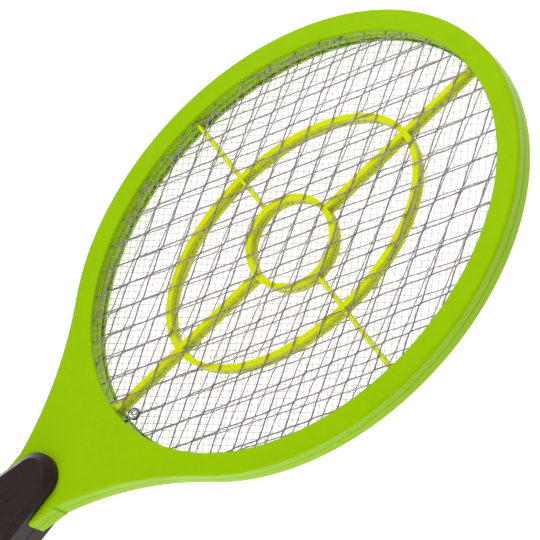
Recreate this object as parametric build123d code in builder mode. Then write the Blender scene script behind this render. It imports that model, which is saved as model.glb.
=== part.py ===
"""Electric fly swatter, lying on its back. X is across, Y runs along it to the head's tip, Z is up.

The origin is under the middle of the whole swatter, on the surface that the handle rests on.
Heights are given from the plane where the front and rear halves meet, and stations are
distances behind the centre of the head's opening. Side +1 is the front, side -1 is the rear:
a rear half is drawn as a front half, outward and up, and mirrored to the rear when it is saved.
"""
from build123d import *
from math import cos, degrees, radians, sin, tan
import os

os.makedirs("parts", exist_ok=True)

# Overall sizes
TOTAL_LENGTH = 470.0
OUTER_X, OUTER_Y = 90.8, 117.3  # half axes of the head's outline
OPENING_X, OPENING_Y = 80.8, 107.0  # half axes of the opening
HEAD_HALF = 6.4  # half the head's thickness
HANDLE_HALF = 13.5  # half the handle's thickness
GRIP_X = 18.5  # half the grip's width

# Head frame
SKIN = 2.0  # plastic wall thickness
EDGE_ROUND = 1.3
LIP_ROUND = 0.6
SEAM = 0.35  # chamfer that shows as the parting line
NECK_ANGLE = radians(38)  # where the neck leaves the oval, from its long axis
WAIST_X, WAIST = 16.6, 154.0
NECK_END_X, NECK_END = 14.6, 169.0
STUB_X, STUB_END = 11.0, 184.0
STUB_DROP = 0.5  # the stub is this much thinner than the neck on each face
NOTCH_DEEP, NOTCH_WIDE = 0.5, 1.4

# Layers inside the head, as heights from the parting plane
GAP = 0.3  # half the slot that the middle mesh lies in
RIB_TOP = 3.3
RING_TOP = 3.6
MESH_LOW, MESH_HIGH = 3.7, 4.3
RING_IN, RING_OUT = 0.6, 3.2  # the spacer ring, outside the opening's edge
MESH_EDGE = 2.9
HOLE_EDGE = 2.0

# Target ribs
TARGET_X, TARGET_Y = 43.4, 69.2
SMALL_RING = 21.7
RING_RIB = 2.6
LONG_RIB = 2.4
CROSS_RIB = 1.3

# Meshes
CELL_X, CELL_Y = 11.64, 22.24  # one diamond of the expanded metal
STRAND = 0.7
FRONT_TURN, REAR_TURN = 3.55, 0.2  # the sheets lie a little turned, in degrees
FRONT_SHIFT = (-3.1, -5.4)  # from the opening centre to the middle between two diamonds
REAR_SHIFT = (-1.0, -1.5)
GRID_PITCH = 3.0
WIRE_R = 0.12

# Terminals and leads
EYELET_X, EYELET = 9.3, 100.9
EYELET_R, EYELET_TUBE_R, EYELET_HOLE_R = 2.8, 1.7, 1.25
FLANGE = 0.35
TAG_X, TAG_LONG = 3.5, 8.0
REAR_TAG_X = -9.0
LEAD_R = 0.5
LEAD_SLOT_X = 8.0

# Handle shells
NOSE, NOSE_R = 142.4, 11.0
FLARE = radians(9.5)
BEVEL_FROM = 9.6
BEVEL_ANGLE = 42
GRIP_CORNER = 10.0
PLAN_X = GRIP_X + 0.7
BUTT_R = 12.0
TONGUE_GAP = 0.12  # between a tongue and the neck
HANG_R, HANG_BOSS_R, HANG_AT = 3.5, 5.5, 343.0

# Screws
FRAME_HEAD_R, FRAME_SHANK_R, FRAME_BOSS_R = 1.8, 0.9, 2.6
HANDLE_HEAD_R, HANDLE_SHANK_R, HANDLE_BOSS_R = 2.1, 1.1, 3.3
BOARD_HEAD_R, BOARD_SHANK_R, BOARD_POST_R = 1.9, 0.9, 2.2
FREE = 0.1  # radial clearance around a screw
RIM_SCREW_ANGLES = (0, 62, -62, 118, -118)  # from the head's tip
NECK_SCREW_X, NECK_SCREW = 13.0, 132.0
STUB_SCREW = 177.0
BAY_SCREW_X, BAY_SCREW = 10.0, 268.4
BUTT_SCREW_X, BUTT_SCREW = 11.0, 339.4
BOARD_SCREW_X, BOARD_SCREWS = 10.5, (201.0, 254.0)
HEAD_SINK = 6.0  # how deep the handle's screw heads sit

# Circuit board
BOARD_X, BOARD_FROM, BOARD_TO = 13.5, 192.0, 262.0
BOARD_LOW, BOARD_HIGH = 3.0, 4.6

# Button and switch
BUTTON_AT, BUTTON_X, BUTTON_Y = 213.0, 6.5, 10.0
BUTTON_TOP = 15.1
BUTTON_GAP = 0.25
FLANGE_OUT = 1.3
FLANGE_LOW, FLANGE_HIGH = 9.9, 11.35
TRAVEL = 1.5
SWITCH_HALF, SWITCH_TOP = 4.0, 8.0
PLUNGER_R, PLUNGER_LOW = 1.6, 6.8
WELL_LOW = 5.0
LED_AT, LED_R, LED_LOW, LED_TOP = 197.0, 1.5, 9.4, 14.0

# Battery bay
CELL_R, CELL_LONG, NUB_R, NUB_LONG = 7.1, 49.5, 2.7, 1.0
CELL_AT_X, CELL_HEIGHT = 7.6, -3.2
BAY_FROM, BAY_TO, BAY_X = 274.0, 334.0, 15.2
BAY_WALL = 1.6
BAY_FLOOR = 4.2
DOOR_FROM, DOOR_TO = 276.0, 331.5
DOOR_GAP = 0.25
TAB_X, TAB_REACH = 2.8, 1.7
GAP_STEP = 0.2

MID_Z = HANDLE_HALF
HEAD_Y = TOTAL_LENGTH / 2 - OUTER_Y
BUTT = TOTAL_LENGTH - OUTER_Y


def behind(station):
    """Y of a station behind the opening's centre."""
    return HEAD_Y - station


def level(height):
    """Level plane at a height above the parting plane."""
    return Plane.XY.offset(MID_Z + height)


def across(station, height=0.0):
    """Plane square to the handle, facing the head's tip, with its own x along X and y down."""
    return Plane(origin=(0, behind(station), MID_Z + height), x_dir=(1, 0, 0), z_dir=(0, 1, 0))


def save(part, name, side=1):
    """Mirror a rear piece to its side, label the finished piece and write its STEP file."""
    if side < 0:
        part = part.mirror(level(0))
    part.label = name
    export_step(part, f"parts/{name}.step")


def oval(grow, mode=Mode.ADD):
    """The opening's oval, grown outward, in the active sketch."""
    with Locations((0, HEAD_Y)):
        Ellipse(OPENING_X + grow, OPENING_Y + grow, mode=mode)


def block(x_low, x_high, from_station, to_station, low, high, mode=Mode.ADD):
    """Box between two X values, two stations and two heights, in the active part."""
    with BuildSketch(level(low)) as plan:
        with Locations(((x_low + x_high) / 2, behind((from_station + to_station) / 2))):
            Rectangle(x_high - x_low, abs(to_station - from_station))
    extrude(plan.sketch, amount=high - low, dir=(0, 0, 1), mode=mode)


def posts(places, radius, low, high, mode=Mode.ADD):
    """Upright cylinders at plan places, between two heights, in the active part."""
    with BuildSketch(level(low)) as plan:
        with Locations(*places):
            Circle(radius)
    extrude(plan.sketch, amount=high - low, dir=(0, 0, 1), mode=mode)


# ---------------------------------------------------------------- head frame

def frame_screw_places():
    """Plan places of the screws round the rim and in the neck."""
    ring_x = (OPENING_X + RING_OUT + OUTER_X) / 2 - SKIN / 2 + FRAME_BOSS_R / 4
    ring_y = (OPENING_Y + RING_OUT + OUTER_Y) / 2 - SKIN / 2 + FRAME_BOSS_R / 4
    turns = [radians(angle) for angle in RIM_SCREW_ANGLES]
    rim = [(ring_x * sin(turn), HEAD_Y + ring_y * cos(turn)) for turn in turns]
    neck = [(way * NECK_SCREW_X, behind(NECK_SCREW)) for way in (-1, 1)]
    return rim + neck


def head_outline(inset=0.0):
    """Outline of the head and neck, or of their hollow, in the active sketch."""
    half_x, half_y = OUTER_X - inset, OUTER_Y - inset
    start = (half_x * sin(NECK_ANGLE), HEAD_Y - half_y * cos(NECK_ANGLE))
    slope = (-half_x * cos(NECK_ANGLE), -half_y * sin(NECK_ANGLE))
    with BuildLine() as neck:
        flank = TangentArc(start, (WAIST_X - inset, behind(WAIST)), tangent=slope)
        taper = Line(flank @ 1, (NECK_END_X - inset, behind(NECK_END - inset)))
        Line(taper @ 1, (0, behind(NECK_END - inset)))
        Line(start, (0, start[1]))
        mirror(about=Plane.YZ)
    make_face(neck.edges())
    with Locations((0, HEAD_Y)):
        Ellipse(half_x, half_y)


def make_frame(side, name):
    """One half of the head frame: rim, neck and the stub that the handle grips."""
    inner = HEAD_HALF - SKIN
    places = frame_screw_places()
    with BuildPart() as frame:
        with BuildSketch(level(0)):
            head_outline()
        extrude(amount=HEAD_HALF)
        faces = frame.faces().filter_by(Axis.Z).sort_by(Axis.Z)
        fillet(faces[-1].edges(), EDGE_ROUND)
        chamfer(frame.faces().filter_by(Axis.Z).sort_by(Axis.Z)[0].edges(), SEAM)
        with BuildSketch(level(0)):
            oval(0)
        extrude(amount=HEAD_HALF, mode=Mode.SUBTRACT)
        fillet(frame.faces().filter_by(Axis.Z).sort_by(Axis.Z)[-1].inner_wires().edges(), LIP_ROUND)
        with BuildSketch(level(0)):
            head_outline(SKIN)
        extrude(amount=inner, mode=Mode.SUBTRACT)
        # Stub, with its hollow open towards the neck and the board
        block(-STUB_X, STUB_X, NECK_END - SKIN, STUB_END, 0, HEAD_HALF - STUB_DROP)
        block(SKIN - STUB_X, STUB_X - SKIN, NECK_END - 2 * SKIN, STUB_END, 0, inner, Mode.SUBTRACT)
        # Grooves across the neck's flanks
        for flank in (-1, 1):
            edge = flank * WAIST_X
            block(edge - NOTCH_DEEP, edge + NOTCH_DEEP, WAIST, WAIST + NOTCH_WIDE,
                  0, HEAD_HALF, Mode.SUBTRACT)
        posts(places, FRAME_BOSS_R, 0, inner)
        if side > 0:
            posts(places, FRAME_SHANK_R + FREE, 0, inner - GAP, Mode.SUBTRACT)
        else:
            posts(places, FRAME_SHANK_R + FREE, 0, HEAD_HALF, Mode.SUBTRACT)
            posts(places, FRAME_HEAD_R + FREE, inner, HEAD_HALF, Mode.SUBTRACT)
        # Way through the stub for the handle's first screw
        posts(handle_screw_places()[:1], HANDLE_BOSS_R + 2 * FREE, 0, HEAD_HALF, Mode.SUBTRACT)
    save(frame.part, name, side)


# ---------------------------------------------------------------- layers in the head

def target_ribs():
    """Long bar, cross bar, oval ring and small ring, in the active sketch."""
    with Locations((0, HEAD_Y)):
        Ellipse(TARGET_X, TARGET_Y)
        Ellipse(TARGET_X - RING_RIB, TARGET_Y - RING_RIB, mode=Mode.SUBTRACT)
        Circle(SMALL_RING)
        Circle(SMALL_RING - RING_RIB, mode=Mode.SUBTRACT)
    root = SMALL_RING - RING_RIB / 2
    long_bar = OPENING_Y + RING_IN + GAP - root
    cross_bar = OPENING_X + RING_IN + GAP - root
    for way in (-1, 1):
        with Locations((0, HEAD_Y + way * (root + long_bar / 2))):
            Rectangle(LONG_RIB, long_bar)
        with Locations((way * (root + cross_bar / 2), HEAD_Y)):
            Rectangle(cross_bar, CROSS_RIB)


def make_spacer(side, name, slots):
    """Insulating ring with the target ribs, between the middle mesh and one outer mesh."""
    with BuildPart() as spacer:
        with BuildSketch(level(GAP)):
            oval(RING_OUT)
            oval(RING_IN, Mode.SUBTRACT)
        extrude(amount=RING_TOP - GAP)
        with BuildSketch(level(GAP)):
            target_ribs()
        extrude(amount=RIB_TOP - GAP)
        for place in slots:
            block(place - 2 * LEAD_R, place + 2 * LEAD_R, OPENING_Y - RING_OUT, OPENING_Y + 2 * RING_OUT,
                  MESH_LOW - 4 * LEAD_R, RING_TOP, Mode.SUBTRACT)
    save(spacer.part, name, side)


def diamond_holes(shift, turn):
    """The expanded metal's holes, trimmed at the clamped border, in the active sketch."""
    half_x, half_y = CELL_X / 2 - STRAND * 0.6, CELL_Y / 2 - STRAND * 1.15
    columns, rows = round(2 * OUTER_X / CELL_X) + 3, round(2 * OUTER_Y / CELL_Y) + 3
    with Locations(Location((shift[0], HEAD_Y + shift[1], 0), turn)):
        for step in (-0.25, 0.25):
            with Locations((step * CELL_X, step * CELL_Y)):
                with GridLocations(CELL_X, CELL_Y, columns, rows):
                    Polygon((half_x, 0), (0, half_y), (-half_x, 0), (0, -half_y))
    oval(HOLE_EDGE, Mode.INTERSECT)


def make_outer_mesh(side, name, shift, turn, eyelet_places):
    """Sheet of expanded metal, clamped between a lip and a spacer."""
    with BuildSketch(level(MESH_LOW)) as holes:
        diamond_holes(shift, turn)
    smallest = CELL_X / 4
    with BuildPart() as mesh:
        with BuildSketch(level(MESH_LOW)):
            oval(MESH_EDGE)
            add([hole for hole in holes.sketch.faces() if hole.area > smallest], mode=Mode.SUBTRACT)
            if eyelet_places:
                with Locations(*eyelet_places):
                    Circle(EYELET_R)
                    Circle(EYELET_TUBE_R, mode=Mode.SUBTRACT)
        extrude(amount=MESH_HIGH - MESH_LOW)
    save(mesh.part, name, side)


def make_middle_mesh():
    """Two layers of straight wires that touch where they cross, cut to the oval."""
    reach_x, reach_y = OPENING_X + HOLE_EDGE, OPENING_Y + HOLE_EDGE
    middle = []
    for layer, turn in ((1, 45), (-1, 135)):
        along = Vector(cos(radians(turn)), sin(radians(turn)))
        aside = Vector(-along.Y, along.X)
        weight = (along.X / reach_x) ** 2 + (along.Y / reach_y) ** 2
        for count in range(-45, 46):
            foot = aside * (count * GRID_PITCH)
            half_b = along.X * foot.X / reach_x**2 + along.Y * foot.Y / reach_y**2
            rest = (foot.X / reach_x) ** 2 + (foot.Y / reach_y) ** 2 - 1
            root = half_b**2 - weight * rest
            if root <= (GRID_PITCH * weight) ** 2:
                continue
            centre, half = -half_b / weight, root**0.5 / weight
            start = foot + along * (centre - half)
            middle.append((layer, start, along, 2 * half))
    with BuildPart() as mesh:
        for layer, start, along, length in middle:
            origin = (start.X, HEAD_Y + start.Y, MID_Z + layer * WIRE_R)
            with BuildSketch(Plane(origin=origin, z_dir=(along.X, along.Y, 0))):
                Circle(WIRE_R)
            extrude(amount=length)
    save(mesh.part, "middle_mesh")


# ---------------------------------------------------------------- terminals and leads

def make_front_terminal():
    """Eyelet that clamps the front mesh near the neck."""
    place = [(EYELET_X, behind(EYELET))]
    with BuildPart() as eyelet:
        posts(place, EYELET_TUBE_R - FREE, MESH_LOW, MESH_HIGH)
        posts(place, EYELET_R, MESH_HIGH, MESH_HIGH + FLANGE)
        posts(place, EYELET_R, MESH_LOW - FLANGE, MESH_LOW)
        posts(place, EYELET_HOLE_R, MESH_LOW - FLANGE, MESH_HIGH + FLANGE, Mode.SUBTRACT)
    save(eyelet.part, "front_terminal")


def make_tag(name, at_x, low, high):
    """Flat solder tag that takes a mesh's wire inside the neck."""
    start = OPENING_Y + MESH_EDGE + GAP
    with BuildPart() as tag:
        block(at_x - TAG_X, at_x + TAG_X, start, start + TAG_LONG, low, high)
        posts([(at_x, behind(start + TAG_LONG - TAG_X))], LEAD_R, low, high, Mode.SUBTRACT)
    save(tag.part, name)


def make_lead(name, route, radius=LEAD_R):
    """Insulated wire along a route of (x, station, height) points, with wide bends."""
    points = [Vector(x, behind(station), MID_Z + height) for x, station, height in route]
    radii = []
    for before, corner, after in zip(points, points[1:], points[2:]):
        run_in, run_out = corner - before, after - corner
        half_turn = radians(run_in.get_angle(run_out)) / 2
        radii.append(0.45 * min(run_in.length, run_out.length) / tan(half_turn))
    with BuildPart() as lead:
        with BuildLine() as path:
            FilletPolyline(*points, radius=radii)
        with BuildSketch(Plane(origin=path.line @ 0, z_dir=path.line % 0)):
            Circle(radius)
        sweep(path=path.line)
    save(lead.part, name)
    print(name, "bend radii", [round(r, 1) for r in radii])


# ---------------------------------------------------------------- handle

def handle_screw_places():
    """Plan places of the handle's screws, the one through the stub first."""
    bay = [(way * BAY_SCREW_X, behind(BAY_SCREW)) for way in (-1, 1)]
    butt = [(way * BUTT_SCREW_X, behind(BUTT_SCREW)) for way in (-1, 1)]
    return [(0, behind(STUB_SCREW))] + bay + butt


def board_screw_places():
    """Plan places of the board's screws."""
    return [(way * BOARD_SCREW_X, behind(station)) for station in BOARD_SCREWS for way in (-1, 1)]


def grip_plan(inset=0.0):
    """Plan of the handle: round nose, flaring tongue, grip and rounded butt."""
    centre = behind(NOSE + NOSE_R)
    leave = (NOSE_R * cos(FLARE), centre + NOSE_R * sin(FLARE))
    full = (PLAN_X, leave[1] - (PLAN_X - leave[0]) / tan(FLARE))
    corner = (PLAN_X - BUTT_R, behind(BUTT - BUTT_R))
    with BuildLine() as plan:
        Line((0, behind(BUTT)), (corner[0], behind(BUTT)))
        CenterArc(corner, BUTT_R, -90, 90)
        Line((PLAN_X, corner[1]), full)
        Line(full, leave)
        CenterArc((0, centre), NOSE_R, degrees(FLARE), 90 - degrees(FLARE))
        mirror(about=Plane.YZ)
    make_face(plan.edges())
    if inset:
        offset(amount=-inset, mode=Mode.REPLACE)


def grip_half(inset=0.0):
    """Half of the handle's outer form, or of its hollow when it is moved inward."""
    top = HANDLE_HALF - inset
    with BuildPart() as half:
        with BuildSketch(level(0)):
            grip_plan(inset)
        extrude(amount=BEVEL_FROM)
        with BuildSketch(level(BEVEL_FROM)):
            grip_plan(inset)
        extrude(amount=top - BEVEL_FROM, taper=BEVEL_ANGLE)
        with BuildSketch(across(BUTT)):
            RectangleRounded(2 * (GRIP_X - inset), 2 * top, GRIP_CORNER - inset)
        extrude(amount=BUTT - NOSE, mode=Mode.INTERSECT)
    return half.part


def make_handle_shell(side, name, details):
    """One handle shell: hollow half, its tongue cut to lie on the neck, with its screw bosses."""
    outer, hollow = grip_half(), grip_half(SKIN)
    places = handle_screw_places()
    inner = HANDLE_HALF - SKIN
    hang = [(0, behind(HANG_AT))]
    with BuildPart() as shell:
        add(outer)
        chamfer(shell.faces().filter_by(Axis.Z).sort_by(Axis.Z)[0].edges(), SEAM)
        add(hollow, mode=Mode.SUBTRACT)
        block(-PLAN_X, PLAN_X, NECK_END + TONGUE_GAP, NOSE - NOSE_R, 0, HEAD_HALF + TONGUE_GAP, Mode.SUBTRACT)
        posts(places, HANDLE_BOSS_R, 0, inner)
        posts(hang, HANG_BOSS_R, 0, inner)
        details(places, inner)
        posts(hang, HANG_R, 0, HANDLE_HALF, Mode.SUBTRACT)
    save(shell.part, name, side)


def front_shell_details(places, inner):
    """Pilot holes, board posts and the holes for the button and the light."""
    posts(places, HANDLE_SHANK_R + FREE, 0, inner - SKIN, Mode.SUBTRACT)
    posts(board_screw_places(), BOARD_POST_R, BOARD_HIGH, inner)
    posts(board_screw_places(), BOARD_SHANK_R + FREE, BOARD_HIGH, inner - SKIN, Mode.SUBTRACT)
    with BuildSketch(level(inner - SKIN)) as hole:
        button_plan(BUTTON_GAP)
    extrude(hole.sketch, amount=2 * SKIN, mode=Mode.SUBTRACT)
    posts([(0, behind(LED_AT))], LED_R + FREE, inner - SKIN, HANDLE_HALF, Mode.SUBTRACT)


def rear_shell_details(places, inner):
    """Screw holes with sunk heads, and the battery bay with its opening."""
    bay_from, bay_to = BAY_FROM - BAY_WALL, BAY_TO + BAY_WALL
    wall_x = GRIP_X - SKIN
    posts(places, HANDLE_SHANK_R + FREE, 0, HANDLE_HALF, Mode.SUBTRACT)
    posts(places, HANDLE_HEAD_R + FREE, HANDLE_HALF - HEAD_SINK, HANDLE_HALF, Mode.SUBTRACT)
    block(-wall_x - FREE, wall_x + FREE, bay_from, bay_to, 0, BEVEL_FROM - SKIN)
    block(-GRIP_CORNER, GRIP_CORNER, bay_from, bay_to, 0, inner + FREE)
    block(-BAY_X - BAY_WALL / 2, BAY_X + BAY_WALL / 2, bay_from, bay_to, -BAY_FLOOR - BAY_WALL, 0)
    block(-BAY_X, BAY_X, BAY_FROM, BAY_TO, -BAY_FLOOR, inner, Mode.SUBTRACT)
    block(-BAY_X, BAY_X, DOOR_FROM, DOOR_TO, 0, HANDLE_HALF, Mode.SUBTRACT)
    for at_x in (-TAG_AT_X, TAG_AT_X):
        block(at_x - SOLDER_TAG_X - FREE, at_x + SOLDER_TAG_X + FREE, bay_from, BAY_FROM,
              -TAG_HEIGHT - PLATE, PLATE - TAG_HEIGHT, Mode.SUBTRACT)


# ---------------------------------------------------------------- screws

def make_screws(name, places, head_from, head_to, shank_to, head_r, shank_r):
    """Group of equal screws with cross recesses. The head lies between two heights."""
    with BuildPart() as screws:
        posts(places, head_r, head_from, head_to)
        posts(places, shank_r, head_to, shank_to)
        depth = (head_to - head_from) / 2
        with BuildSketch(level(head_from)):
            with Locations(*places):
                Rectangle(head_r, head_r / 4)
                Rectangle(head_r / 4, head_r)
        extrude(amount=depth, mode=Mode.SUBTRACT)
    save(screws.part, name)


# ---------------------------------------------------------------- button, switch, light

def button_plan(grow=0.0):
    """Plan of the button, a long oval, in the active sketch."""
    with Locations((0, behind(BUTTON_AT))):
        SlotOverall(2 * (BUTTON_Y + grow), 2 * (BUTTON_X + grow), rotation=90)


def make_power_button():
    """Thumb button with finger grooves and a flange that keeps it in the shell."""
    with BuildPart() as button:
        with BuildSketch(level(FLANGE_LOW)):
            button_plan()
        extrude(amount=BUTTON_TOP - FLANGE_LOW)
        fillet(button.faces().sort_by(Axis.Z)[-1].edges(), 1.0)
        with BuildSketch(level(FLANGE_LOW)):
            button_plan(FLANGE_OUT)
        extrude(amount=FLANGE_HIGH - FLANGE_LOW)
        for step in (-1, 0, 1):
            station = BUTTON_AT + step * BUTTON_Y / 3
            block(-BUTTON_X / 1.8, BUTTON_X / 1.8, station - 0.5, station + 0.5,
                  BUTTON_TOP - 0.5, BUTTON_TOP, Mode.SUBTRACT)
    save(button.part, "power_button")


def make_switch():
    """Push switch on the board: body with a well, and the plunger in it."""
    place = [(0, behind(BUTTON_AT))]
    with BuildPart() as body:
        block(-SWITCH_HALF, SWITCH_HALF, BUTTON_AT - SWITCH_HALF, BUTTON_AT + SWITCH_HALF,
              BOARD_HIGH, SWITCH_TOP)
        posts(place, PLUNGER_R + FREE / 2, WELL_LOW, SWITCH_TOP, Mode.SUBTRACT)
    save(body.part, "switch_body")
    with BuildPart() as plunger:
        posts(place, PLUNGER_R, PLUNGER_LOW, FLANGE_LOW)
        fillet(plunger.faces().sort_by(Axis.Z)[-1].edges(), 0.3)
    save(plunger.part, "switch_plunger")


def make_indicator():
    """Small round light on two legs, its dome just proud of the shell."""
    with BuildPart() as light:
        posts([(0, behind(LED_AT))], LED_R, LED_LOW, LED_TOP)
        fillet(light.faces().sort_by(Axis.Z)[-1].edges(), LED_R * 0.9)
        posts([(way * 0.8, behind(LED_AT)) for way in (-1, 1)], 0.25, BOARD_HIGH, LED_LOW)
    save(light.part, "indicator_led")


# ---------------------------------------------------------------- board and its parts

def make_board():
    """Circuit board with four screw holes."""
    with BuildPart() as board:
        block(-BOARD_X, BOARD_X, BOARD_FROM, BOARD_TO, BOARD_LOW, BOARD_HIGH)
        posts(board_screw_places(), BOARD_SHANK_R + FREE, BOARD_LOW, BOARD_HIGH, Mode.SUBTRACT)
    save(board.part, "circuit_board")


FILM_X, FILM_FROM, FILM_TO, FILM_LOW, FILM_ROUND = 8.5, 213.0, 220.5, -8.0, 1.2
DISC_X, DISC_AT, DISC_R, DISC_THICK, DISC_LEGS = 5.0, 206.5, 4.0, 2.4, 0.2
BARRELS_X = -6.0
DIODES, DIODE_R, DIODE_HALF = (230, 235, 240), 1.35, 2.4
RESISTORS, RESISTOR_R, RESISTOR_HALF = (246, 250), 1.1, 3.1
TRANSISTOR_X, TRANSISTOR, TRANSISTOR_R, TRANSISTOR_HIGH = 7.0, 233.0, 2.4, 4.8
CORE_AT, CORE_HALF, CORE_DEEP = 240.0, 6.5, 3.0
LEG_X = 1.9
WINDOW_X, WINDOW_Z = 5.0, 4.2
WINDING_GAP = 0.1


def make_transformer():
    """Step-up transformer under the board: ferrite core with two windows, and its winding."""
    low, high = BOARD_LOW - 2 * CORE_HALF + 1.0, BOARD_LOW
    mid = (low + high) / 2
    with BuildPart() as core:
        block(-CORE_HALF, CORE_HALF, CORE_AT - CORE_DEEP, CORE_AT + CORE_DEEP, low, high)
        for way in (-1, 1):
            edges = sorted((way * LEG_X, way * WINDOW_X))
            block(*edges, CORE_AT - CORE_DEEP, CORE_AT + CORE_DEEP,
                  mid - WINDOW_Z, mid + WINDOW_Z, Mode.SUBTRACT)
    save(core.part, "transformer_core")
    reach_x, reach_z = WINDOW_X - WINDING_GAP, WINDOW_Z - WINDING_GAP
    leg = LEG_X + WINDING_GAP
    deep = CORE_DEEP + WINDING_GAP
    with BuildPart() as winding:
        block(-reach_x, reach_x, CORE_AT - deep - SKIN, CORE_AT + deep + SKIN, mid - reach_z, mid + reach_z)
        fillet(winding.edges().filter_by(Axis.Z), 1.5)
        block(-leg, leg, CORE_AT - deep, CORE_AT + deep, mid - reach_z, mid + reach_z, Mode.SUBTRACT)
    save(winding.part, "transformer_winding")


def make_discharge_capacitor():
    """Film capacitor that holds the charge for the meshes, under the board."""
    with BuildPart() as capacitor:
        block(-FILM_X, FILM_X, FILM_FROM, FILM_TO, FILM_LOW, BOARD_LOW)
        fillet(capacitor.edges().filter_by(Axis.Z), FILM_ROUND)
    save(capacitor.part, "discharge_capacitor")


def make_multiplier_capacitors():
    """Two ceramic discs standing under the board."""
    with BuildPart() as discs:
        for way in (-1, 1):
            centre = (way * DISC_X, behind(DISC_AT), MID_Z + BOARD_LOW - DISC_R - DISC_LEGS)
            with BuildSketch(Plane(origin=centre, z_dir=(0, 1, 0))):
                Circle(DISC_R)
            extrude(amount=DISC_THICK)
    fillet(discs.edges(), DISC_THICK / 3)
    save(discs.part, "multiplier_capacitors")


def lying_barrels(name, stations, radius, half_long):
    """Group of axial parts lying across the board's top."""
    height = BOARD_HIGH + radius
    with BuildPart() as barrels:
        for station in stations:
            centre = (BARRELS_X - half_long, behind(station), MID_Z + height)
            with BuildSketch(Plane(origin=centre, z_dir=(1, 0, 0))):
                Circle(radius)
            extrude(amount=2 * half_long)
    save(barrels.part, name)


def make_transistor():
    """Small power transistor standing on the board, flat face to the head."""
    with BuildPart() as transistor:
        with BuildSketch(level(BOARD_HIGH)):
            with Locations((TRANSISTOR_X, behind(TRANSISTOR))):
                Circle(TRANSISTOR_R)
            with Locations((TRANSISTOR_X, behind(TRANSISTOR - TRANSISTOR_R))):
                Rectangle(3 * TRANSISTOR_R, TRANSISTOR_R, mode=Mode.SUBTRACT)
        extrude(amount=TRANSISTOR_HIGH)
    save(transistor.part, "transistor")


# ---------------------------------------------------------------- battery bay

PLATE = 0.4
TAG_AT_X, SOLDER_TAG_X, TAG_HEIGHT, LEAD_FROM = 5.0, 1.0, 1.6, 270.9
PLATE_X, PLATE_LOW, PLATE_HIGH = 5.0, -8.2, 2.6
COIL_R, COIL_WIRE, COIL_TURNS, COIL_LONG = 3.2, 0.35, 4, 4.4


def make_cell(name, way):
    """AA cell lying in the bay. Way +1 points its nub at the head, -1 at the butt."""
    at_x = -way * CELL_AT_X
    free_end = NUB_LONG + 2 * PLATE
    first = BAY_FROM + free_end if way > 0 else BAY_TO - free_end
    with BuildPart() as cell:
        with BuildSketch(Plane(origin=(at_x, behind(first), MID_Z + CELL_HEIGHT), z_dir=(0, -way, 0))):
            Circle(CELL_R)
        extrude(amount=CELL_LONG)
        fillet(cell.edges(), 0.6)
        with BuildSketch(Plane(origin=(at_x, behind(first), MID_Z + CELL_HEIGHT), z_dir=(0, way, 0))):
            Circle(NUB_R)
        extrude(amount=NUB_LONG)
    save(cell.part, name)


def solder_tag(at_x):
    """Tag of a contact plate, out through the bay's wall to its lead, in the active part."""
    block(at_x - SOLDER_TAG_X, at_x + SOLDER_TAG_X, LEAD_FROM, BAY_FROM + FREE,
          TAG_HEIGHT - PLATE / 2, TAG_HEIGHT + PLATE / 2)


def contact_plate(at_x, station, half_x=PLATE_X):
    """Upright contact plate on an end wall of the bay, in the active part."""
    block(at_x - half_x, at_x + half_x, station, station + PLATE, PLATE_LOW, PLATE_HIGH)


def contact_coil(at_x, station, way):
    """Coil spring standing on a plate and pressing on a cell's flat end, in the active part."""
    pitch = COIL_LONG / COIL_TURNS
    start = (at_x, behind(station) - way * (COIL_WIRE - 0.1), MID_Z + CELL_HEIGHT)
    turns = Plane(origin=start, x_dir=(1, 0, 0), z_dir=(0, -way, 0))
    helix = turns.from_local_coords(Helix(pitch=pitch, height=COIL_LONG, radius=COIL_R, mode=Mode.PRIVATE))
    with BuildSketch(Plane(origin=helix @ 0, z_dir=helix % 0)) as wire:
        Circle(COIL_WIRE)
    sweep(wire.sketch, path=helix, is_frenet=True)


def make_contacts():
    """Two contacts at the head's end, with tags through the wall, and the bridge at the butt's end."""
    with BuildPart() as positive:
        contact_plate(-CELL_AT_X, BAY_FROM + FREE)
        solder_tag(-TAG_AT_X)
    save(positive.part, "positive_contact")
    with BuildPart() as negative:
        contact_plate(CELL_AT_X, BAY_FROM + FREE)
        solder_tag(TAG_AT_X)
        contact_coil(CELL_AT_X, BAY_FROM + FREE + PLATE, 1)
    save(negative.part, "negative_contact")
    with BuildPart() as bridge:
        contact_plate(0, BAY_TO - PLATE - FREE, CELL_AT_X + PLATE_X)
        contact_coil(-CELL_AT_X, BAY_TO - FREE - PLATE, -1)
    save(bridge.part, "bridge_contact")


def make_battery_door():
    """Curved door flush with the handle's rear face, with a tab at the head's end and finger grooves."""
    outer, hollow = grip_half(), grip_half(SKIN - FREE)
    inner = HANDLE_HALF - SKIN
    tab_from, tab_to = inner - 6 * GAP_STEP, inner - GAP_STEP
    root = DOOR_FROM + 2 * TAB_REACH
    with BuildPart() as door:
        block(DOOR_GAP - BAY_X, BAY_X - DOOR_GAP, DOOR_FROM + DOOR_GAP, DOOR_TO - DOOR_GAP, 0, HANDLE_HALF)
        add(outer, mode=Mode.INTERSECT)
        add(hollow, mode=Mode.SUBTRACT)
        block(-TAB_X, TAB_X, DOOR_FROM - TAB_REACH, root, tab_from, tab_to)
        block(-TAB_X, TAB_X, DOOR_FROM + DOOR_GAP, root, tab_from, HANDLE_HALF - SKIN / 2)
        for step in range(4):
            station = DOOR_TO - 6.0 - 2.4 * step
            block(-5.0, 5.0, station - 0.6, station + 0.6, HANDLE_HALF - 0.6, HANDLE_HALF, Mode.SUBTRACT)
    save(door.part, "battery_door", -1)


# ---------------------------------------------------------------- the whole swatter

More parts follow.
